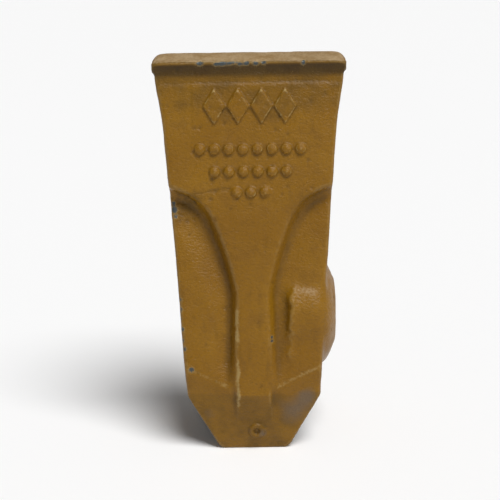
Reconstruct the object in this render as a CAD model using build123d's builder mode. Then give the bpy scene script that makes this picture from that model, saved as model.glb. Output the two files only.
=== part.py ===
"""Excavator bucket tooth with its flexible retaining pin, in millimetres.

The tooth is one steel casting: a wedge with a beaded blunt tip, a flute on each side of a rib on both faces,
a socket for the adapter nose, a pin boss on one side and two tongues at the rear. The pin that holds it is a
laminate: two steel half bars with a rubber strip bonded between them.

The origin is on the pin axis, in the middle of the socket. +Z runs along the tooth to its tip, +X along the
pin to the boss, and the two broad faces look along -Y and +Y.
"""

import os
from math import cos, radians, sin, sqrt

from build123d import *

os.makedirs("parts", exist_ok=True)

# Driving dimensions of the wedge. Heights are measured up from the ends of the tongues.
tooth_length = 245.0
pin_height = 79.5
crease_height = 38.5
neck_height = 232.5
neck_half_thickness = 9.2
wedge_slope = 0.188
tongue_slope = 0.232
side_draft = 1.5
side_edge_radius = 2.0

# Half widths of the front outline, from the tongues to the neck under the bead.
tongue_half_width = 21.3
tongue_corner = 10.0
tongue_trim = 2.0
shoulder_half_width = 42.6
shoulder_height = 35.3
shoulder_radius = 16.0
waist_half_width = 48.1
waist_height = 124.0
neck_half_width = 56.3
core_height = 238.5

# Bead round the tip, which is square to the back face and so tilts toward the front.
bead_tilt = 12.0
bead_depth = 7.5
bead_half_width = 59.4
bead_half_thickness = 13.2
bead_corner = 8.0
bead_top_edge = 4.0
bead_lower_edge = 1.6
bead_root = 2.0

# Flutes: the rib between them, their depth and the run of their floors.
rib_half_width = 9.8
flute_top_height = 165.7
flute_top_inset = 7.8
flute_foot_inset = 4.4
flute_knee_x = 28.4
flute_knee_drop = 18.0
flute_curve_drop = 60.0
flute_top_depth = 8.2
flute_floor_slope = 0.231
flute_wall_draft = 40.0
flute_root = 4.0
flute_rim = 2.0
shortest_rim = 15.0
facet_turn = 0.153
facet_lean = 0.10
facet_foot_inset = 2.0
facet_size = 120.0
facet_wall_draft = 40.0

# Socket for the adapter nose: its mouth, where it starts to taper, and the seat at its inner end.
mouth_half_width = 33.5
mouth_half_thickness = 29.0
throat_height = 40.0
seat_height = 122.0
seat_half_width = 28.5
seat_half_thickness = 14.5
socket_corner = 6.0

# Pin boss, and the holes that the pin passes through.
boss_radius = 36.6
boss_root_x = 23.0
boss_shoulder_x = 36.0
boss_wall_radius = 33.6
boss_wall_x = 45.0
boss_flank_radius = 28.0
boss_flank_x = 49.0
boss_lip_radius = 21.8
boss_lip_x = 51.7
boss_end_radius = 18.5
boss_end_x = 52.6
hole_radius = 12.4
hole_chamfer = 0.8

# Retaining pin. Its middle stretch fits the adapter nose, and its ends are relieved.
pin_radius = 12.0
pin_end_radius = 11.6
pin_length = 96.0
pin_middle_x = 3.2
grip_half_length = 29.5
pin_chamfer = 1.6
rubber_half_thickness = 3.0
rubber_half_width = 10.6
rubber_length = 92.0

# Raised foundry marks on the front face: a band of lozenges, rows of studs and a ring on the tongue.
mark_relief = 1.5
lozenge_width = 13.0
lozenge_height = 21.0
lozenge_pitch = 14.4
lozenge_count = 4
lozenge_row_height = 213.0
stud_radius = 3.1
stud_pitch = 8.8
stud_rows = ((187.3, 8), (174.0, 6), (161.5, 3))
ring_radius = 4.8
ring_hollow_radius = 2.2
ring_height = 13.5
ring_x = 1.5

# How far cutting tools run past the faces that they cut.
past = 20.0

# Two lengths closer than this count as equal.
least_gap = 0.01

# Worked out from the driving dimensions.
rear_z = -pin_height
tip_z = rear_z + tooth_length
crease_z = rear_z + crease_height
shoulder_z = rear_z + shoulder_height
waist_z = rear_z + waist_height
neck_z = rear_z + neck_height
core_z = rear_z + core_height
throat_z = rear_z + throat_height
seat_z = rear_z + seat_height
flute_top_z = rear_z + flute_top_height


def face_half(z):
    """Half thickness of the wedge between the crease and the bead."""
    return neck_half_thickness + (neck_z - z) * wedge_slope


def floor_half(z):
    """Half thickness of the casting at the floor of a flute."""
    return face_half(flute_top_z) - flute_top_depth + (flute_top_z - z) * flute_floor_slope


def front_plane(z, half, slope):
    """Plane of a front surface through height z, which leans out toward the rear by slope."""
    return Plane(origin=(0, -half, z), x_dir=(1, 0, 0), z_dir=(0, -1, slope))


def up_slope(rise, slope):
    """Distance along a leaning surface that climbs the given rise."""
    return rise * sqrt(1 + slope**2)


def climbs(edge, least_rise=5.0):
    """Whether an edge runs along the tooth rather than across it."""
    return abs((edge @ 0).Z - (edge @ 1).Z) > least_rise


def largest(faces):
    """The face of the greatest area."""
    return faces.sort_by(SortBy.AREA)[-1]


crease_half = face_half(crease_z)
tongue_end_half = crease_half - crease_height * tongue_slope
face_plane = front_plane(0, face_half(0), wedge_slope)
floor_plane = front_plane(0, floor_half(0), flute_floor_slope)
tongue_plane = front_plane(rear_z, tongue_end_half, -tongue_slope)
tilt = radians(bead_tilt)
bead_plane = Plane(
    origin=(0, 0, tip_z - bead_half_thickness * sin(tilt)),
    x_dir=(1, 0, 0),
    z_dir=(0, -sin(tilt), cos(tilt)),
)
facet_plane = Plane(
    origin=(rib_half_width, -floor_half(crease_z), crease_z),
    x_dir=(1, facet_turn, 0),
    z_dir=(facet_turn, -1, -facet_lean),
)

# One quarter of the wedge, at +X and -Y. The front outline is extruded, then thinned to the side profile.
with BuildPart() as quarter:
    with BuildSketch(Plane.XZ) as front_outline:
        with BuildLine():
            Polyline(
                (-past, core_z),
                (-past, rear_z - tongue_trim),
                (tongue_half_width, rear_z - tongue_trim),
                (shoulder_half_width, shoulder_z),
            )
            ThreePointArc(
                (shoulder_half_width, shoulder_z),
                (waist_half_width, waist_z),
                (neck_half_width, core_z),
            )
            Line((neck_half_width, core_z), (-past, core_z))
        make_face()
        corners = front_outline.vertices().filter_by(lambda corner: corner.X > 0).sort_by(Axis.Y)
        fillet(corners[0], radius=tongue_corner)
        fillet(corners[1], radius=shoulder_radius)
    extrude(amount=crease_half + past, taper=side_draft)
    split(bisect_by=Plane.YZ, keep=Keep.TOP)
    with BuildSketch(Plane.YZ):
        Polygon(
            (0, rear_z),
            (-tongue_end_half, rear_z),
            (-crease_half, crease_z),
            (-face_half(core_z), core_z),
            (0, core_z),
            align=None,
        )
    extrude(amount=bead_half_width, mode=Mode.INTERSECT)

    # The flute is open at the side. Its walls lean outward by the draft, from the outline of its floor.
    foot_x = rib_half_width + flute_foot_inset
    flute_top = up_slope(flute_top_z - flute_top_inset, flute_floor_slope)
    side_x = neck_half_width + past
    with BuildSketch(floor_plane):
        with BuildLine():
            top = Line((side_x, flute_top), (neck_half_width, flute_top))
            knee = TangentArc(top @ 1, (flute_knee_x, flute_top - flute_knee_drop), tangent=(-1, 0))
            wall = TangentArc(knee @ 1, (foot_x, flute_top - flute_curve_drop), tangent=knee % 1)
            Polyline(wall @ 1, (foot_x, rear_z - past), (side_x, rear_z - past), top @ 0)
        make_face()
    extrude(amount=past, taper=-flute_wall_draft, mode=Mode.SUBTRACT)
    floor = largest(quarter.faces().filter_by(floor_plane))
    fillet([edge for edge in floor.edges() if climbs(edge) and edge.geom_type != GeomType.BSPLINE], flute_root)

    # The side facet of the tongue turns outward and carries the flute on toward the rear.
    with BuildSketch(facet_plane):
        with Locations((facet_foot_inset + facet_size / 2, 0)):
            Rectangle(facet_size, facet_size)
    extrude(amount=past, taper=-facet_wall_draft, mode=Mode.SUBTRACT)

    # Rounded edges along the rim of the flute and down the side wall.
    face = largest(quarter.faces().filter_by(face_plane))
    rim = face.edges().filter_by(lambda edge: rib_half_width / 2 < edge.center().X < shoulder_half_width)
    fillet([edge for edge in rim if climbs(edge, shortest_rim)], flute_rim)
    side_wall = largest(quarter.faces().filter_by(lambda face: face.center().X > shoulder_half_width))
    outer_edges = [edge for edge in side_wall.edges() if edge.center().Y < -neck_half_thickness / 2]
    fillet([edge for edge in outer_edges if climbs(edge)], side_edge_radius)

# The casting.
with BuildPart() as tooth_point:
    add(quarter.part)
    mirror(about=Plane.YZ)
    mirror(about=Plane.XZ)

    # The bead round the tip, with rounded edges and a root fillet where it meets the wedge.
    with BuildSketch(bead_plane):
        RectangleRounded(2 * bead_half_width, 2 * bead_half_thickness, bead_corner)
    extrude(amount=-bead_depth)
    tip_face = tooth_point.faces().filter_by(bead_plane).sort_by(Axis.Z)[-1]
    fillet(tip_face.edges(), radius=bead_top_edge)
    underside = tooth_point.faces().filter_by(bead_plane).sort_by(Axis.Z)[0]
    fillet(underside.outer_wire().edges(), radius=bead_lower_edge)
    underside = tooth_point.faces().filter_by(bead_plane).sort_by(Axis.Z)[0]
    fillet(underside.inner_wires()[0].edges(), radius=bead_root)

    # The pin boss: a drum that domes over to its end face.
    with BuildSketch(Plane.XY):
        with BuildLine():
            Polyline((boss_root_x, 0), (boss_root_x, boss_radius), (boss_shoulder_x, boss_radius))
            Spline(
                (boss_shoulder_x, boss_radius),
                (boss_wall_x, boss_wall_radius),
                (boss_flank_x, boss_flank_radius),
                (boss_lip_x, boss_lip_radius),
                (boss_end_x, boss_end_radius),
                tangents=((1, 0), (0, -1)),
            )
            Polyline((boss_end_x, boss_end_radius), (boss_end_x, 0), (boss_root_x, 0))
        make_face()
    revolve(axis=Axis.X)

    # The socket, from beyond the tongues to the seat.
    with BuildSketch(Plane.XY.offset(rear_z - past), Plane.XY.offset(throat_z)):
        RectangleRounded(2 * mouth_half_width, 2 * mouth_half_thickness, socket_corner)
    with BuildSketch(Plane.XY.offset(seat_z)):
        RectangleRounded(2 * seat_half_width, 2 * seat_half_thickness, socket_corner)
    loft(ruled=True, mode=Mode.SUBTRACT)

    # The holes for the pin, chamfered where it is driven in and out.
    with BuildSketch(Plane.YZ):
        Circle(hole_radius)
    extrude(amount=bead_half_width + past, both=True, mode=Mode.SUBTRACT)
    circles = tooth_point.edges().filter_by(GeomType.CIRCLE)
    hole_mouths = circles.filter_by(lambda edge: abs(edge.radius - hole_radius) < least_gap)
    chamfer(hole_mouths.sort_by(Axis.X)[-1], length=hole_chamfer)

    # The foundry marks.
    with BuildSketch(face_plane):
        with Locations((0, up_slope(rear_z + lozenge_row_height, wedge_slope))):
            with GridLocations(lozenge_pitch, 1, lozenge_count, 1):
                Polygon(
                    (0, lozenge_height / 2),
                    (lozenge_width / 2, 0),
                    (0, -lozenge_height / 2),
                    (-lozenge_width / 2, 0),
                )
        for row_height, stud_count in stud_rows:
            with Locations((0, up_slope(rear_z + row_height, wedge_slope))):
                with GridLocations(stud_pitch, 1, stud_count, 1):
                    Circle(stud_radius)
    extrude(amount=mark_relief)
    with BuildSketch(tongue_plane):
        with Locations((ring_x, ring_height)):
            Circle(ring_radius)
            Circle(ring_hollow_radius, mode=Mode.SUBTRACT)
    extrude(amount=mark_relief)

tooth_point.part.label = "tooth_point"
export_step(tooth_point.part, "parts/tooth_point.step")

# The pin as one round bar, which the half bars are split from.
with BuildPart() as round_pin:
    with BuildSketch(Plane.XY):
        pin_start_x = pin_middle_x - pin_length / 2
        pin_finish_x = pin_middle_x + pin_length / 2
        Polygon(
            (pin_start_x, 0),
            (pin_start_x, pin_end_radius - pin_chamfer),
            (pin_start_x + pin_chamfer, pin_end_radius),
            (-grip_half_length - pin_chamfer, pin_end_radius),
            (-grip_half_length, pin_radius),
            (grip_half_length, pin_radius),
            (grip_half_length + pin_chamfer, pin_end_radius),
            (pin_finish_x - pin_chamfer, pin_end_radius),
            (pin_finish_x, pin_end_radius - pin_chamfer),
            (pin_finish_x, 0),
            align=None,
        )
    revolve(axis=Axis.X)

with BuildPart() as pin_bar_front:
    add(round_pin.part)
    split(bisect_by=Plane.XY.offset(rubber_half_thickness), keep=Keep.TOP)

pin_bar_front.part.label = "pin_bar_front"
export_step(pin_bar_front.part, "parts/pin_bar_front.step")

with BuildPart() as pin_bar_rear:
    add(round_pin.part)
    split(bisect_by=Plane.XY.offset(-rubber_half_thickness), keep=Keep.BOTTOM)

pin_bar_rear.part.label = "pin_bar_rear"
export_step(pin_bar_rear.part, "parts/pin_bar_rear.step")

# The rubber strip, set back a little from the bars' edges and ends.
with BuildPart() as pin_rubber_core:
    with Locations((pin_middle_x, 0, 0)):
        Box(rubber_length, 2 * rubber_half_width, 2 * rubber_half_thickness)
    fillet(pin_rubber_core.edges().filter_by(Axis.Z), radius=1.0)

pin_rubber_core.part.label = "pin_rubber_core"
export_step(pin_rubber_core.part, "parts/pin_rubber_core.step")
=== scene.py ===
"""Looks of the excavator bucket tooth: the painted casting, its laminated pin and a plain studio.

The casting is remeshed from the CAD node, so that its edges soften as a sand casting's do, and then gets the
marks of the foundry and of handling: waves, pits, a parting line, dents and chips. The pin's bars and rubber
are remeshed too, and dented or moulded. Lengths are in metres, in the part's frame: +Z to the tip, +X to the
boss, and -Y is the marked face.
"""

from itertools import product
from math import cos, radians, sin

import bmesh
import bpy
import numpy as np
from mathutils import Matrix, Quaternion, Vector


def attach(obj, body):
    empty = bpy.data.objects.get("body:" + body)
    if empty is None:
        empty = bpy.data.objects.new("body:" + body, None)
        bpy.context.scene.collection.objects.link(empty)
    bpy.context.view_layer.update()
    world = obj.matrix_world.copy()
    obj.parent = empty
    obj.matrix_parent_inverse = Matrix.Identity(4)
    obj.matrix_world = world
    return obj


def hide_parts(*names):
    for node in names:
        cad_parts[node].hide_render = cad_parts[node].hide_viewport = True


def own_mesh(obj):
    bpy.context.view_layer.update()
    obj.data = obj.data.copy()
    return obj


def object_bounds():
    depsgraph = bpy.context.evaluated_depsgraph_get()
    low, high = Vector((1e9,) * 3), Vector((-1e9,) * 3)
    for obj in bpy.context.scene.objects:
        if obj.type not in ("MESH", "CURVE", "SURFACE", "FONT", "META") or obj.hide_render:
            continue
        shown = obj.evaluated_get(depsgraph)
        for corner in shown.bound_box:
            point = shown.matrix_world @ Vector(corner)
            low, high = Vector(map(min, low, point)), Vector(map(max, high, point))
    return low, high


MM = 0.001
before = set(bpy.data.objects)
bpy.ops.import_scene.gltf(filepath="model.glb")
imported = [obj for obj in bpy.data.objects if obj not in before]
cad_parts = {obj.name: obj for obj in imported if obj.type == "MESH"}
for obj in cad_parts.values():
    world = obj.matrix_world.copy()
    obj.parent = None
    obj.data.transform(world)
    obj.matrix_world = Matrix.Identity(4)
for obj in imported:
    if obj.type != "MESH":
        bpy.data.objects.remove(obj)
cad_low, cad_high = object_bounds()

# Dimensions of the casting that its finish follows. Heights are above the ends of the tongues.
REAR_Z = cad_low.z
CREASE_HEIGHT = 38.5 * MM
FLUTE_FOOT_HEIGHT = 40 * MM
FLUTE_HEAD_HEIGHT = 168 * MM
BEAD_HEIGHT = 233 * MM
BEAD_CREST_HEIGHT = 238.6 * MM
BEAD_TILT = 12
RIB_HALF_WIDTH = 9.8 * MM
FACE_AT_PIN = 38 * MM
FACE_SLOPE = 0.188
SOCKET_HALF_WIDTH = 34.5 * MM
SOCKET_HALF_THICKNESS = 30.5 * MM
SEAT_Z = 42.5 * MM
HOLE_RADIUS = 12.4 * MM
BOSS_RADIUS = 36.6 * MM
BOSS_ROOT_X = 23 * MM
PIN_HALF_LENGTH = 48 * MM
RUBBER_HALF_THICKNESS = 3 * MM

# How far the foundry's shape departs from the CAD.
BEAD_DRAW = 3.4 * MM
NECK_FLARE = 2.4 * MM
LEFT_DISH_DEPTH = 4.2 * MM
RIGHT_DISH_DEPTH = 2.1 * MM
STUD_DOME = 0.9 * MM

# How high or deep the marks of the foundry and of handling are, and how much of them the socket gets.
SLOW_WAVES = 0.24 * MM
LUMPS = 0.11 * MM
GRAIN = 0.06 * MM
PLATE_RISE = 0.35 * MM
GROOVE_DEPTH = 0.3 * MM
LAP_DEPTH = 0.45 * MM
SCRATCH_DEPTH = 0.25 * MM
PIT_DEPTH = 0.4 * MM
TORN_RISE = 1.1 * MM
PARTING_RISE = 0.3 * MM
DENT_DEPTH = 0.16 * MM
CHIP_DEPTH = 0.45 * MM
SOCKET_SHARE = 0.3

# Places on the front face in millimetres, across from the middle and up from the ends of the tongues.
STUD_PITCH = 8.8
STUD_REACH = 1.9
STUD_ROWS = ((187.3, 8), (174.0, 6), (161.5, 3))  # up, number of studs
CREST_CHIPS = (  # across, reach
    (-30, 2.4), (-20, 1.6), (-16, 2.0), (-11, 2.8), (-6, 2.2), (-1.5, 1.4), (4, 2.0), (9, 1.5), (33, 1.3),
)
EDGE_CHIPS = (  # across, up, reach
    (-48, 154, 1.3), (-47.5, 150, 2.0), (-47, 146, 1.2), (-45, 96, 1.3), (-45, 90, 1.7), (-45, 84, 1.1),
    (-44, 78, 1.5), (-44, 71, 1.2), (-43, 66, 1.4), (-38.5, 53.5, 1.6), (11.5, 73.5, 0.9), (11.8, 71, 0.9),
)

CASTING_VOXEL = 1.3 * MM
PIN_VOXEL = 0.6 * MM

# ---------------------------------------------------------------------------------------------------------
# Mesh helpers
# ---------------------------------------------------------------------------------------------------------

random = np.random.default_rng(11)
LATTICE = random.uniform(-1, 1, (32, 32, 32))


def waves(points, size, seed=0):
    """Smooth noise from -1 to 1 at each point. size is the width of its lumps, or one width per axis."""
    places = points / np.array(size) + 7.31 * seed
    cells = np.floor(places).astype(int)
    share = places - cells
    share = share * share * (3 - 2 * share)
    total = np.zeros(len(points))
    for corner in product((0, 1), repeat=3):
        weight = np.prod(np.where(corner, share, 1 - share), axis=1)
        i, j, k = ((cells + corner) % 32).T
        total += weight * LATTICE[i, j, k]
    return total


def ramp(values, start, end):
    """Eases from 0 at start to 1 at end."""
    share = np.clip((values - start) / (end - start), 0, 1)
    return share * share * (3 - 2 * share)


def bell(distance, width):
    """1 at distance 0, fading to nothing by about twice the width."""
    return np.exp(-((distance / width) ** 2))


class Surface:
    """The points, normals and edges of a mesh as arrays."""

    def __init__(self, mesh):
        self.mesh = mesh
        count = len(mesh.vertices)
        self.points = np.zeros(count * 3)
        mesh.vertices.foreach_get("co", self.points)
        self.points = self.points.reshape(-1, 3)
        edges = np.zeros(len(mesh.edges) * 2, dtype=int)
        mesh.edges.foreach_get("vertices", edges)
        self.first, self.second = edges.reshape(-1, 2).T
        self.degree = np.maximum(np.bincount(edges, minlength=count), 1)

    def around(self, values):
        """Each point's mean of its neighbours' values."""
        columns = []
        for column in values.reshape(len(self.points), -1).T:
            total = np.bincount(self.first, column[self.second], len(column))
            total += np.bincount(self.second, column[self.first], len(column))
            columns.append(total / self.degree)
        return np.squeeze(np.array(columns).T)

    def relax(self, rounds, strength):
        """Moves each point toward the middle of its neighbours. strength may differ from point to point."""
        strength = np.broadcast_to(strength, len(self.points))[:, None]
        for _ in range(rounds):
            self.points += (self.around(self.points) - self.points) * strength

    def normals(self):
        """Each point's normal, from the mesh as it was last stored."""
        found = np.zeros(len(self.points) * 3)
        self.mesh.vertices.foreach_get("normal", found)
        return found.reshape(-1, 3)

    def push(self, lift):
        """Moves each point out along its normal."""
        self.store()
        self.points += self.normals() * lift[:, None]
        self.store()

    def store(self):
        """Writes the points back to the mesh, held inside the box of the CAD."""
        self.points = np.clip(self.points, np.array(cad_low), np.array(cad_high))
        self.mesh.vertices.foreach_set("co", self.points.ravel())
        self.mesh.update()

    def bulge(self, rounds):
        """How far each point stands out of its surroundings, in metres, and negative where it lies sunk."""
        calm = self.points.copy()
        for _ in range(rounds):
            calm += (self.around(calm) - calm) * 0.6
        return np.sum((self.points - calm) * self.normals(), axis=1)

    def mark(self, name, values):
        """Stores a number for each point, which the material reads by name."""
        layer = self.mesh.attributes.new(name, "FLOAT", "POINT")
        layer.data.foreach_set("value", np.clip(values, 0, 1).astype(np.float32))


def remeshed(node, name, voxel):
    """A new object with the CAD node's shape, rebuilt from voxels so that its sharp edges soften."""
    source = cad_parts[node]
    rough = bpy.data.objects.new(name + "_rough", source.data.copy())
    bpy.context.collection.objects.link(rough)
    weld = rough.modifiers.new("weld", "WELD")
    weld.merge_threshold = 0.001 * MM
    voxels = rough.modifiers.new("voxels", "REMESH")
    voxels.mode = "VOXEL"
    voxels.voxel_size = voxel
    voxels.use_smooth_shade = True
    snap = rough.modifiers.new("snap", "SHRINKWRAP")
    snap.target = source
    depsgraph = bpy.context.evaluated_depsgraph_get()
    mesh = bpy.data.meshes.new_from_object(rough.evaluated_get(depsgraph))
    bpy.data.objects.remove(rough)
    mesh.materials.clear()
    mesh.name = name
    piece = bpy.data.objects.new(name, mesh)
    bpy.context.collection.objects.link(piece)
    return piece


def refined(piece, node, wanted):
    """Halves the edges whose middle is wanted, and snaps the mesh's points to the CAD node."""
    mesh = bmesh.new()
    mesh.from_mesh(piece.data)
    edges = [edge for edge in mesh.edges if wanted((edge.verts[0].co + edge.verts[1].co) / 2)]
    bmesh.ops.subdivide_edges(mesh, edges=edges, cuts=1, use_grid_fill=True)
    mesh.to_mesh(piece.data)
    mesh.free()
    snap = piece.modifiers.new("snap", "SHRINKWRAP")
    snap.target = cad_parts[node]
    depsgraph = bpy.context.evaluated_depsgraph_get()
    finer = bpy.data.meshes.new_from_object(piece.evaluated_get(depsgraph))
    piece.modifiers.clear()
    piece.data = finer


# ---------------------------------------------------------------------------------------------------------
# Casting: the shape of its skin
# ---------------------------------------------------------------------------------------------------------


def marked(place):
    """Whether a place lies on the front among the raised marks, which need a finer mesh."""
    up = place.z - REAR_Z
    on_face = 154 * MM < up < 226 * MM and abs(place.x) < 38 * MM
    on_tongue = 6 * MM < up < 21 * MM and abs(place.x) < 9 * MM
    return place.y < -8 * MM and (on_face or on_tongue)


def draw_in_bead(surface):
    """Draws the bead in below its crest, on both broad faces."""
    y, z = surface.points[:, 1], surface.points[:, 2]
    height = z - REAR_Z
    below_crest = ramp(height, 239.6 * MM, 236.4 * MM) * ramp(height, 225 * MM, 228 * MM)
    surface.points[:, 1] -= np.sign(y) * BEAD_DRAW * below_crest * ramp(np.abs(y), 9.2 * MM, 12.8 * MM)


def flare_neck(surface):
    """Widens the neck toward the bead at its two sides."""
    x, z = surface.points[:, 0], surface.points[:, 2]
    height = z - REAR_Z
    near_bead = ramp(height, 198 * MM, 236 * MM) * ramp(height, 240 * MM, 237 * MM)
    surface.points[:, 0] += np.sign(x) * NECK_FLARE * near_bead * ramp(np.abs(x), 46 * MM, 54 * MM)


def dish_flutes(surface):
    """Sinks the floors of the flutes toward their walls, so that they're dished rather than flat."""
    x, y, z = surface.points.T
    height = z - REAR_Z
    across = np.abs(x)
    under_face = FACE_AT_PIN - FACE_SLOPE * z - np.abs(y)

    # The rim at each height is as far across as the broad face reaches there.
    on_face = (np.abs(under_face) < 0.4 * MM) & (x < 0)
    levels = np.arange(FLUTE_FOOT_HEIGHT, FLUTE_HEAD_HEIGHT, 3 * MM)
    rims = [across[on_face & (np.abs(height - level) < 1.5 * MM)].max() for level in levels]
    from_rim = across - np.interp(height, levels, rims)

    # The dish is wide at the head of the flute, narrow at its foot, and leaves the boss alone.
    reach = 12 * MM + 10 * MM * ramp(height, 80 * MM, 135 * MM)
    dish = 1 - np.clip((from_rim - 3 * MM) / reach, 0, 1)
    dish *= ramp(under_face, 0.6 * MM, 3.2 * MM) * ramp(under_face, 14 * MM, 12 * MM)
    dish *= ramp(height, FLUTE_FOOT_HEIGHT, 62 * MM) * ramp(height, FLUTE_HEAD_HEIGHT, 160 * MM)
    dish *= across > RIB_HALF_WIDTH
    outside_boss = ramp(np.hypot(y, z), BOSS_RADIUS, BOSS_RADIUS + 2 * MM)
    dish *= np.where(x > BOSS_ROOT_X - MM, outside_boss, 1)
    depth = np.where(x > 0, RIGHT_DISH_DEPTH, LEFT_DISH_DEPTH)
    surface.points[:, 1] -= np.sign(y) * depth * dish


def soften(surface):
    """Rolls the bead over softly, and the rims of the flutes and the boss a little less so."""
    x, y, z = surface.points.T
    height = z - REAR_Z
    across = np.abs(x)
    on_bead = ramp(height, 231 * MM, 234 * MM)
    on_boss = ramp(x, 20 * MM, 22 * MM) * ramp(np.abs(z), 44 * MM, 38 * MM)
    on_flutes = ramp(across, 7 * MM, 10 * MM) * ramp(across, 38 * MM, 30 * MM)
    on_flutes *= ramp(height, 170 * MM, 160 * MM) * ramp(height, 38 * MM, 46 * MM)
    outer_skin = np.abs(y) > SOCKET_HALF_THICKNESS - 15 * MM
    zone = np.maximum(on_bead, 0.8 * np.maximum(on_boss, on_flutes) * outer_skin)
    zone *= ramp(np.hypot(y, z), HOLE_RADIUS + MM, HOLE_RADIUS + 4 * MM)
    surface.relax(14, 0.5 * zone)


casting = remeshed("tooth_point", "painted_casting", CASTING_VOXEL)
refined(casting, "tooth_point", marked)
skin = Surface(casting.data)
skin.relax(1, 0.4)
skin.store()
draw_in_bead(skin)
flare_neck(skin)
dish_flutes(skin)
soften(skin)
skin.store()

# ---------------------------------------------------------------------------------------------------------
# Casting: the foundry's and the handling's marks, as a lift at each point of its skin
# ---------------------------------------------------------------------------------------------------------

x, y, z = skin.points.T.copy()
height = z - REAR_Z
across = np.abs(x)
way_x, way_y, way_z = skin.normals().T
from_pin = np.hypot(y, z)
front = ramp(-way_y, 0.2, 0.6) * (y < 0)
facing_in = way_x * x + way_y * y < 0
within_socket = (across < SOCKET_HALF_WIDTH) & (np.abs(y) < SOCKET_HALF_THICKNESS) & (z < SEAT_Z + MM)
in_socket = within_socket & facing_in


def spot(across, up, reach):
    """A round spot on the front face, at a place and with a reach in millimetres."""
    return bell(np.hypot(x - across * MM, height - up * MM), reach * MM) * front


def stroke(start, end, width):
    """A thin line on the front face between two places, in millimetres, that wanders a little."""
    start, end = np.array(start) * MM, np.array(end) * MM
    run = end - start
    places = np.column_stack((x, height)) - start
    share = np.clip(places @ run / (run @ run), 0, 1)
    wander = 0.6 * MM * waves(skin.points, 5 * MM, 4)
    distance = np.linalg.norm(places - share[:, None] * run, axis=1) + wander
    return bell(distance, width * MM) * front


# The mould's unevenness: slow waves, then lumps, then flattened grain.
lift = SLOW_WAVES * waves(skin.points, 36 * MM, 1)
lift += LUMPS * waves(skin.points, (9 * MM, 9 * MM, 5 * MM), 2)
lift += GRAIN * waves(skin.points, (4.2 * MM, 4.2 * MM, 2.2 * MM), 3)

# The raised plate that carries the marks ends in a faint step above them and at the right.
plate = ramp(height, 185 * MM, 205 * MM) * ramp(height, 227.4 * MM, 226.2 * MM)
plate *= ramp(x, 47.2 * MM, 46.2 * MM) * ramp(x, -36 * MM, -34 * MM) * front
lift += PLATE_RISE * plate

# The studs are domed.
for up, count in STUD_ROWS:
    for index in range(count):
        lift += STUD_DOME * spot((index - (count - 1) / 2) * STUD_PITCH, up, STUD_REACH)

# A groove runs along the foot of the bead. Its band is painted dark brown, as painted shade under the bead.
groove_and_shade = ramp(height, 228.5 * MM, 233 * MM) * ramp(height, 239 * MM, 237.2 * MM) * ramp(-y, 4 * MM, 7 * MM)
lift -= GROOVE_DEPTH * groove_and_shade

# A cold lap above the left flute, and scratches near the right end of the bead.
lap = stroke((-38, 160.5), (-13, 164), 0.9)
scratches = stroke((27, 229), (41, 221), 0.6) + stroke((31, 219), (38, 215), 0.6)
lift -= LAP_DEPTH * lap + SCRATCH_DEPTH * scratches

# Sand stuck to the mould leaves pits all over, and a cluster in the head of the left flute.
pits = np.zeros(len(skin.points))
for index in random.integers(0, len(skin.points), 150):
    reach = random.uniform(0.7, 1.5) * MM
    pits += bell(np.linalg.norm(skin.points - skin.points[index], axis=1), reach)
for place_x, place_up in random.uniform((-46, 142), (-33, 160), (16, 2)):
    pits += spot(place_x, place_up, random.uniform(0.8, 1.5))
pits = np.clip(pits, 0, 1)
lift -= PIT_DEPTH * pits

# Where the boss runs out on the front of the flute, the sand tore and left lumps.
torn = np.zeros(len(skin.points))
for up in np.arange(60, 102, 2.6):
    place_x = random.uniform(21.5, 24.5) + 0.06 * (up - 60)
    torn += random.uniform(0.5, 1.1) * spot(place_x, up, random.uniform(1.4, 2.4))
lift += TORN_RISE * torn

# The parting line of the mould runs down both side walls.
parting = bell(y + 0.5 * MM * waves(skin.points, 20 * MM, 5), 0.8 * MM) * ramp(np.abs(way_x), 0.8, 0.95)
parting *= ramp(height, 226 * MM, 218 * MM) * ramp(from_pin, 31 * MM, 34 * MM) * ~in_socket
lift += PARTING_RISE * parting

# The tip has been knocked: shallow dents over its end face, and chips along its crest.
tilt = radians(BEAD_TILT)
end_face = ramp(way_z * cos(tilt) - way_y * sin(tilt), 0.55, 0.9) * ramp(height, BEAD_HEIGHT, 237 * MM)
lift -= DENT_DEPTH * end_face * ramp(waves(skin.points, 5 * MM, 6), 0, 0.6)
crest = ramp(height, 234 * MM, 238 * MM) * bell(height - BEAD_CREST_HEIGHT, 1.8 * MM) * front
chips = np.zeros(len(skin.points))
for place_x, reach in CREST_CHIPS:
    chips += bell(x - place_x * MM, reach * MM) * crest

# More chips down the left edge and beside the crease, and one at the foot of the right flute.
for place_x, place_up, reach in EDGE_CHIPS:
    chips += spot(place_x, place_up, reach)
chips = np.clip(chips * (1 + 0.6 * waves(skin.points, 2.4 * MM, 7)), 0, 1)
lift -= CHIP_DEPTH * chips

# The hole stays true, and the socket nearly so.
off_hole = ramp(from_pin, HOLE_RADIUS + 0.8 * MM, HOLE_RADIUS + 3 * MM)
skin.push(lift * off_hole * np.where(in_socket, SOCKET_SHARE, 1.0))

# ---------------------------------------------------------------------------------------------------------
# Casting: where its paint is worn, scuffed, stained or dirty, and where shade and a highlight are painted on
# ---------------------------------------------------------------------------------------------------------

edge = ramp(skin.bulge(6), 0.10 * MM, 0.34 * MM)
# Painted shade: hollows are painted darker with this mark, and so are the cold lap and the pits.
hollow_shade = ramp(-skin.bulge(14), 0.08 * MM, 0.55 * MM)

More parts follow.
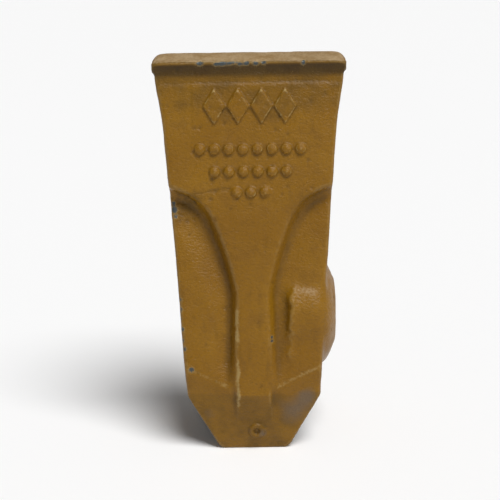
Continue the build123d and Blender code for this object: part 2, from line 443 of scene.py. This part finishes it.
# The rib's left edge is rubbed in a broken line. So is the crease at the foot of each flute, and so are the
# edges of the raised marks.
wobble = 0.5 * MM * waves(skin.points, 22 * MM, 10) + 0.8 * MM * waves(skin.points, 2.2 * MM, 11)
rib_wear = bell(x + RIB_HALF_WIDTH + wobble, 1.7 * MM) * (0.72 + 0.5 * waves(skin.points, 6 * MM, 12))
rib_wear *= ramp(height, 26 * MM, 32 * MM) * ramp(height, 112 * MM, 104 * MM) * front
above_crease = height - CREASE_HEIGHT - 1.5 * MM - 0.47 * (across - RIB_HALF_WIDTH)
crease_wear = bell(above_crease, 2.6 * MM) * front * ramp(across, RIB_HALF_WIDTH, 16 * MM)
mark_wear = 0.9 * edge * ramp(height, 156 * MM, 160 * MM) * ramp(height, 228 * MM, 225 * MM) * front
mark_wear *= ramp(across, 40 * MM, 36 * MM)

# The top of the boss is painted lighter where it faces up, as a painted highlight, and the tongues are
# stained.
# The heads of the flutes and the rear facets are painted darker, as painted shade. The upper face grows
# darker toward the bead, and the tip's end face and the socket are dirty.
boss_top_highlight = ramp(way_z, 0.15, 0.6) * ramp(x, BOSS_ROOT_X, 26 * MM) * ramp(from_pin, 40 * MM, 37.5 * MM)
boss_top_highlight *= ramp(z, 4 * MM, 9 * MM)
stain = 0.9 * spot(27, 27, 11) + 0.8 * spot(33, 36, 6) + spot(5, 11, 3) + 0.5 * spot(-26, 24, 6)
flute_head_shade = spot(-38, 154, 9) + 0.7 * spot(38, 156, 9)
upper_face = 0.5 * ramp(height, 185 * MM, 225 * MM) * front
rear_facet_shade = ramp(height, CREASE_HEIGHT + 2 * MM, CREASE_HEIGHT - 2 * MM)

skin.mark("edge", edge)
skin.mark("hollow_shade", hollow_shade + 0.5 * lap + 0.6 * pits)
skin.mark("groove_and_shade", groove_and_shade)
skin.mark("worn", mark_wear + 1.15 * rib_wear + 0.6 * crease_wear + 0.7 * scratches)
# This mark holds scuffs on the end face and a painted highlight on the top of the boss.
skin.mark("scuff_and_highlight", end_face + 0.8 * boss_top_highlight)
skin.mark("chip", chips)
skin.mark("stain", stain)
# This mark holds dirt on the end face and in the socket, and painted shade on flute heads and rear facets.
skin.mark("grime_and_shade", 0.7 * flute_head_shade + 0.45 * rear_facet_shade + upper_face + 0.5 * end_face + 0.9 * in_socket)

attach(casting, "tooth")
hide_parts("tooth_point")

# ---------------------------------------------------------------------------------------------------------
# Pin: two bars and the rubber between them
# ---------------------------------------------------------------------------------------------------------


def pin_bar(node, body, seed):
    """A half-round steel bar with rolled edges, faint turning marks and hammered ends."""
    bar = remeshed(node, node + "_steel", PIN_VOXEL)
    surface = Surface(bar.data)
    surface.relax(2, 0.5)
    surface.store()
    along, up = surface.points[:, 0], surface.points[:, 2]
    grooves = 0.5 + 0.5 * waves(surface.points, (1.1 * MM, 60 * MM, 60 * MM), seed)
    rolled = 0.5 + 0.5 * waves(surface.points, (14 * MM, 4 * MM, 4 * MM), seed + 1)
    sunk = 0.05 * MM * grooves + 0.08 * MM * rolled
    from_middle = np.abs(along - along.mean())
    hammered = ramp(from_middle, PIN_HALF_LENGTH - 1.5 * MM, PIN_HALF_LENGTH - 0.4 * MM)
    sunk += 0.3 * MM * hammered * ramp(waves(surface.points, 3 * MM, seed + 2), -0.1, 0.5)
    bonded = ramp(np.abs(up), RUBBER_HALF_THICKNESS + 0.6 * MM, RUBBER_HALF_THICKNESS + 0.2 * MM)
    surface.push(-sunk * (1 - bonded))
    surface.mark("edge", ramp(surface.bulge(6), 0.04 * MM, 0.2 * MM))
    surface.mark("hammered", hammered)
    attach(bar, body)
    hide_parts(node)
    return bar


bars = [pin_bar("pin_bar_front", "pin_front", 8), pin_bar("pin_bar_rear", "pin", 12)]

# The strip is moulded between the bars, so its sides draw in between them and its ends are ragged.
rubber = remeshed("pin_rubber_core", "moulded_rubber", PIN_VOXEL)
strip = Surface(rubber.data)
strip.relax(2, 0.5)
strip.store()
up = strip.points[:, 2].copy()
between = 1 - (up / RUBBER_HALF_THICKNESS) ** 2
side = ramp(np.abs(strip.normals()[:, 1]), 0.5, 0.9)
butt = ramp(np.abs(strip.normals()[:, 0]), 0.5, 0.9)
sunk = np.clip(between, 0, 1) * (0.9 * MM * side + 0.7 * MM * butt)
sunk += (0.12 * MM + 0.12 * MM * waves(strip.points, 2.5 * MM, 9)) * (side + butt)
strip.push(-sunk)
strip.mark("edge", ramp(strip.bulge(5), 0.05 * MM, 0.2 * MM))
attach(rubber, "pin")
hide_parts("pin_rubber_core")
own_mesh(rubber)

# ---------------------------------------------------------------------------------------------------------
# Material helpers
# ---------------------------------------------------------------------------------------------------------


class Finish:
    """A material under construction. Its methods add nodes and return the output to wire on."""

    def __init__(self, name):
        self.material = bpy.data.materials.new(name)
        self.material.use_nodes = True
        self.tree = self.material.node_tree
        self.shader = self.tree.nodes["Principled BSDF"]
        self.places = self.tree.nodes.new("ShaderNodeTexCoord").outputs["Object"]

    def plug(self, socket, value):
        """Wires an output to a socket, or sets the socket to a number or colour."""
        if isinstance(value, bpy.types.NodeSocket):
            self.tree.links.new(value, socket)
        elif isinstance(value, tuple):
            socket.default_value = (*value, 1)
        else:
            socket.default_value = value

    def grain(self, size, detail=3, stretch=(1, 1, 1)):
        """Noise from 0 to 1, with lumps of about the size in metres, drawn out along the stretched axes."""
        spread = self.tree.nodes.new("ShaderNodeVectorMath")
        spread.operation = "DIVIDE"
        self.plug(spread.inputs[0], self.places)
        spread.inputs[1].default_value = [size * axis for axis in stretch]
        noise = self.tree.nodes.new("ShaderNodeTexNoise")
        self.plug(noise.inputs["Vector"], spread.outputs[0])
        self.plug(noise.inputs["Scale"], 1.0)
        self.plug(noise.inputs["Detail"], detail)
        return noise.outputs["Fac"]

    def mark(self, name):
        """A number stored on the mesh's points."""
        node = self.tree.nodes.new("ShaderNodeAttribute")
        node.attribute_name = name
        return node.outputs["Fac"]

    def maths(self, operation, first, second):
        """Adds, multiplies or compares two numbers."""
        node = self.tree.nodes.new("ShaderNodeMath")
        node.operation = operation
        self.plug(node.inputs[0], first)
        self.plug(node.inputs[1], second)
        return node.outputs[0]

    def levels(self, value, start, end, low=0.0, high=1.0):
        """Maps start to end onto low to high, and holds beyond."""
        node = self.tree.nodes.new("ShaderNodeMapRange")
        for socket, number in zip(node.inputs, (value, start, end, low, high)):
            self.plug(socket, number)
        return node.outputs[0]

    def patchy(self, mark, grain, start, end):
        """A mark broken up by a grain: 1 where both are strong."""
        return self.levels(self.maths("ADD", mark, grain), start, end)

    def mixed(self, share, first, second):
        """A colour between two, at a share from 0 to 1."""
        node = self.tree.nodes.new("ShaderNodeMix")
        node.data_type = "RGBA"
        self.plug(node.inputs["Factor"], share)
        self.plug(node.inputs[6], first)
        self.plug(node.inputs[7], second)
        return node.outputs[2]

    def bump(self, height, distance):
        """Shades the surface as if the height, from 0 to 1, were raised by up to the distance in metres."""
        node = self.tree.nodes.new("ShaderNodeBump")
        self.plug(node.inputs["Height"], height)
        self.plug(node.inputs["Distance"], distance)
        self.plug(self.shader.inputs["Normal"], node.outputs["Normal"])

    def wire(self, name, value):
        """Plugs a value into the shader."""
        self.plug(self.shader.inputs[name], value)


# ---------------------------------------------------------------------------------------------------------
# Paint of the casting: ochre, mottled and streaked, worn to tan on edges and chipped to dark steel
# ---------------------------------------------------------------------------------------------------------

OCHRE = (0.192, 0.087, 0.0030)
YELLOW_OCHRE = (0.226, 0.107, 0.0040)
BROWN_OCHRE = (0.148, 0.064, 0.0030)
DARK_OCHRE = (0.060, 0.030, 0.0050)
GREEN_BROWN = (0.082, 0.044, 0.0030)
GROOVE_SHADE_BROWN = (0.018, 0.009, 0.0020)
WORN_TAN = (0.330, 0.225, 0.080)
SCUFF_AND_HIGHLIGHT_TAN = (0.420, 0.300, 0.165)
STAIN_GREY = (0.130, 0.090, 0.055)
BARE_STEEL = (0.066, 0.074, 0.074)

paint = Finish("ochre_paint")
clouds = paint.grain(45 * MM, 4)
blotches = paint.grain(11 * MM, 5)
specks = paint.grain(1.5 * MM, 3)
fine_specks = paint.grain(0.55 * MM, 2)
runs = paint.grain(5 * MM, 4, (1, 1, 9))
peel = paint.grain(1.4 * MM, 3, (1.4, 1.4, 0.9))

colour = paint.mixed(paint.levels(clouds, 0.36, 0.64), OCHRE, YELLOW_OCHRE)
colour = paint.mixed(paint.levels(blotches, 0.50, 0.74, 0, 0.5), colour, BROWN_OCHRE)
colour = paint.mixed(paint.levels(runs, 0.58, 0.78, 0, 0.22), colour, DARK_OCHRE)
colour = paint.mixed(paint.levels(peel, 0.50, 0.32, 0, 0.14), colour, DARK_OCHRE)
colour = paint.mixed(paint.levels(specks, 0.68, 0.78, 0, 0.4), colour, DARK_OCHRE)
# Painted shade: hollows, the cold lap and the pits are painted darker ochre.
colour = paint.mixed(paint.maths("MULTIPLY", paint.mark("hollow_shade"), 0.45), colour, DARK_OCHRE)
# Painted shade: the band at the foot of the bead is painted dark brown.
colour = paint.mixed(paint.maths("MULTIPLY", paint.mark("groove_and_shade"), 0.85), colour, GROOVE_SHADE_BROWN)
# Dirt and painted shade: flute heads and rear facets are painted darker as shade; end face and socket are
# dirty.
grime_and_shade = paint.patchy(paint.mark("grime_and_shade"), blotches, 0.72, 1.35)
colour = paint.mixed(paint.maths("MULTIPLY", grime_and_shade, 0.75), colour, GREEN_BROWN)
stain = paint.patchy(paint.mark("stain"), blotches, 0.8, 1.5)
colour = paint.mixed(paint.maths("MULTIPLY", stain, 0.8), colour, STAIN_GREY)
worn_edge = paint.patchy(paint.mark("edge"), specks, 1.0, 1.7)
broken = paint.maths("MULTIPLY", paint.maths("ADD", specks, blotches), 0.7)
worn_line = paint.patchy(paint.mark("worn"), broken, 1.18, 1.62)
worn = paint.maths("MAXIMUM", paint.maths("MULTIPLY", worn_edge, 0.32), worn_line)
colour = paint.mixed(paint.maths("MULTIPLY", worn, 0.8), colour, WORN_TAN)
mottle = paint.maths("MULTIPLY", paint.maths("ADD", specks, blotches), 0.6)
# Scuffs on the end face, and a painted highlight on the top of the boss.
scuff_and_highlight = paint.patchy(paint.mark("scuff_and_highlight"), mottle, 1.3, 1.72)
colour = paint.mixed(paint.maths("MULTIPLY", scuff_and_highlight, 0.85), colour, SCUFF_AND_HIGHLIGHT_TAN)
rim = paint.patchy(paint.mark("chip"), fine_specks, 0.66, 0.82)
colour = paint.mixed(paint.maths("MULTIPLY", rim, 0.45), colour, WORN_TAN)
bare = paint.patchy(paint.mark("chip"), fine_specks, 0.82, 1.12)
colour = paint.mixed(bare, colour, BARE_STEEL)
paint.wire("Base Color", colour)

sheen = paint.levels(blotches, 0.35, 0.7, 0.32, 0.47)
paint.wire("Roughness", paint.maths("ADD", sheen, paint.maths("MULTIPLY", scuff_and_highlight, 0.18)))
paint.wire("Metallic", paint.maths("MULTIPLY", bare, 0.5))
skin_grain = paint.maths("ADD", peel, paint.maths("MULTIPLY", fine_specks, 0.35))
paint.bump(skin_grain, 0.5 * MM)
paint.wire("Specular IOR Level", 0.24)
casting.data.materials.append(paint.material)

# ---------------------------------------------------------------------------------------------------------
# Steel of the pin: oiled and dark, drawn lengthwise, bright on its edges, with rust in places
# ---------------------------------------------------------------------------------------------------------

OILED_STEEL = (0.150, 0.150, 0.155)
MILL_STEEL = (0.260, 0.255, 0.250)
BRIGHT_STEEL = (0.520, 0.510, 0.500)
RUST = (0.130, 0.050, 0.018)

steel = Finish("oiled_steel")
drawn = steel.grain(1.2 * MM, 4, (9, 1, 1))
turned = steel.grain(0.6 * MM, 3, (1, 14, 14))
patches = steel.grain(9 * MM, 5)
flecks = steel.grain(0.9 * MM, 3)

colour = steel.mixed(steel.levels(drawn, 0.35, 0.65), OILED_STEEL, MILL_STEEL)
colour = steel.mixed(steel.patchy(steel.mark("edge"), flecks, 0.8, 1.4), colour, BRIGHT_STEEL)
knocked = steel.patchy(steel.mark("hammered"), flecks, 1.3, 1.7)
colour = steel.mixed(steel.maths("MULTIPLY", knocked, 0.5), colour, BRIGHT_STEEL)
rust = steel.levels(steel.maths("ADD", patches, steel.maths("MULTIPLY", flecks, 0.4)), 0.74, 0.86)
colour = steel.mixed(steel.maths("MULTIPLY", rust, 0.8), colour, RUST)
steel.wire("Base Color", colour)
steel.wire("Metallic", steel.levels(rust, 0, 1, 0.95, 0.25))
gloss = steel.levels(drawn, 0.3, 0.7, 0.28, 0.44)
steel.wire("Roughness", steel.maths("ADD", gloss, steel.maths("MULTIPLY", rust, 0.35)))
steel.bump(steel.maths("ADD", turned, steel.maths("MULTIPLY", flecks, 0.5)), 0.05 * MM)
for bar in bars:
    bar.data.materials.append(steel.material)

# ---------------------------------------------------------------------------------------------------------
# Rubber of the pin: black, matt and faintly dusty on its edges
# ---------------------------------------------------------------------------------------------------------

BLACK_RUBBER = (0.014, 0.014, 0.015)
GREY_RUBBER = (0.036, 0.035, 0.034)
DUST = (0.130, 0.110, 0.085)

soft = Finish("moulded_rubber")
mottle = soft.grain(5 * MM, 4)
pores = soft.grain(0.4 * MM, 3)
colour = soft.mixed(soft.levels(mottle, 0.4, 0.65), BLACK_RUBBER, GREY_RUBBER)
dusty = soft.patchy(soft.mark("edge"), pores, 0.8, 1.5)
colour = soft.mixed(soft.maths("MULTIPLY", dusty, 0.35), colour, DUST)
soft.wire("Base Color", colour)
soft.wire("Roughness", soft.levels(mottle, 0.3, 0.7, 0.62, 0.8))
soft.bump(pores, 0.10 * MM)
rubber.data.materials.append(soft.material)

# ---------------------------------------------------------------------------------------------------------
# Studio
# ---------------------------------------------------------------------------------------------------------

FLOOR_SIZE = 80
bpy.ops.mesh.primitive_plane_add(size=FLOOR_SIZE, location=(0, 0, REAR_Z))
floor = bpy.context.object
floor.name = "studio_floor"
floor_finish = Finish("pale_floor")
floor_finish.wire("Base Color", (0.93, 0.93, 0.93))
floor_finish.wire("Roughness", 0.9)
floor_finish.wire("Specular IOR Level", 0.1)
floor.data.materials.append(floor_finish.material)

# The studio's walls are as bright as the floor where they rise from it, and dim above. The world's strength
# follows the height of each direction on the unit sphere.
WALL_BRIGHTNESS = 0.93
CEILING_BRIGHTNESS = 0.12
WALL_TOP = 0.14
CEILING_START = 0.26
world = bpy.data.worlds.new("studio")
world.use_nodes = True
sky = world.node_tree.nodes["Background"]
sky.inputs["Color"].default_value = (1, 1, 1, 1)
direction = world.node_tree.nodes.new("ShaderNodeTexCoord").outputs["Generated"]
split = world.node_tree.nodes.new("ShaderNodeSeparateXYZ")
fade = world.node_tree.nodes.new("ShaderNodeMapRange")
fade.inputs["From Min"].default_value = WALL_TOP
fade.inputs["From Max"].default_value = CEILING_START
fade.inputs["To Min"].default_value = WALL_BRIGHTNESS
fade.inputs["To Max"].default_value = CEILING_BRIGHTNESS
world.node_tree.links.new(direction, split.inputs["Vector"])
world.node_tree.links.new(split.outputs["Z"], fade.inputs["Value"])
world.node_tree.links.new(fade.outputs["Result"], sky.inputs["Strength"])
bpy.context.scene.world = world
bpy.context.scene.view_settings.view_transform = "Standard"


def sun(name, azimuth, elevation, softness, strength):
    """A soft light from far off, so that it falls evenly on the floor. Azimuth 0 is in front."""
    lamp = bpy.data.lights.new(name, "SUN")
    lamp.angle = radians(softness)
    lamp.energy = strength
    light = bpy.data.objects.new(name, lamp)
    bpy.context.collection.objects.link(light)
    turn, rise = radians(azimuth), radians(elevation)
    way = Vector((sin(turn) * cos(rise), -cos(turn) * cos(rise), sin(rise)))
    light.rotation_mode = "QUATERNION"
    light.rotation_quaternion = way.to_track_quat("Z", "Y")


sun("key", azimuth=36, elevation=60, softness=32, strength=3.2)

# The camera stands in front and a little above, and leans over slightly.
CAMERA_DISTANCE = 0.72
CAMERA_PITCH = 14
CAMERA_ROLL = -0.9
CAMERA_AIM = Vector((-0.0011, 0, REAR_Z + 0.1197))
CAMERA_LENS = 81.2

lens = bpy.data.cameras.new("camera")
lens.lens = CAMERA_LENS
lens.sensor_width = 36
lens.clip_start = 0.01
lens.clip_end = FLOOR_SIZE
camera = bpy.data.objects.new("camera", lens)
bpy.context.collection.objects.link(camera)
pitch = radians(CAMERA_PITCH)
back = Vector((0, -cos(pitch), sin(pitch)))
camera.location = CAMERA_AIM + back * CAMERA_DISTANCE
camera.rotation_mode = "QUATERNION"
camera.rotation_quaternion = back.to_track_quat("Z", "Y") @ Quaternion((0, 0, 1), radians(CAMERA_ROLL))
bpy.context.scene.camera = camera
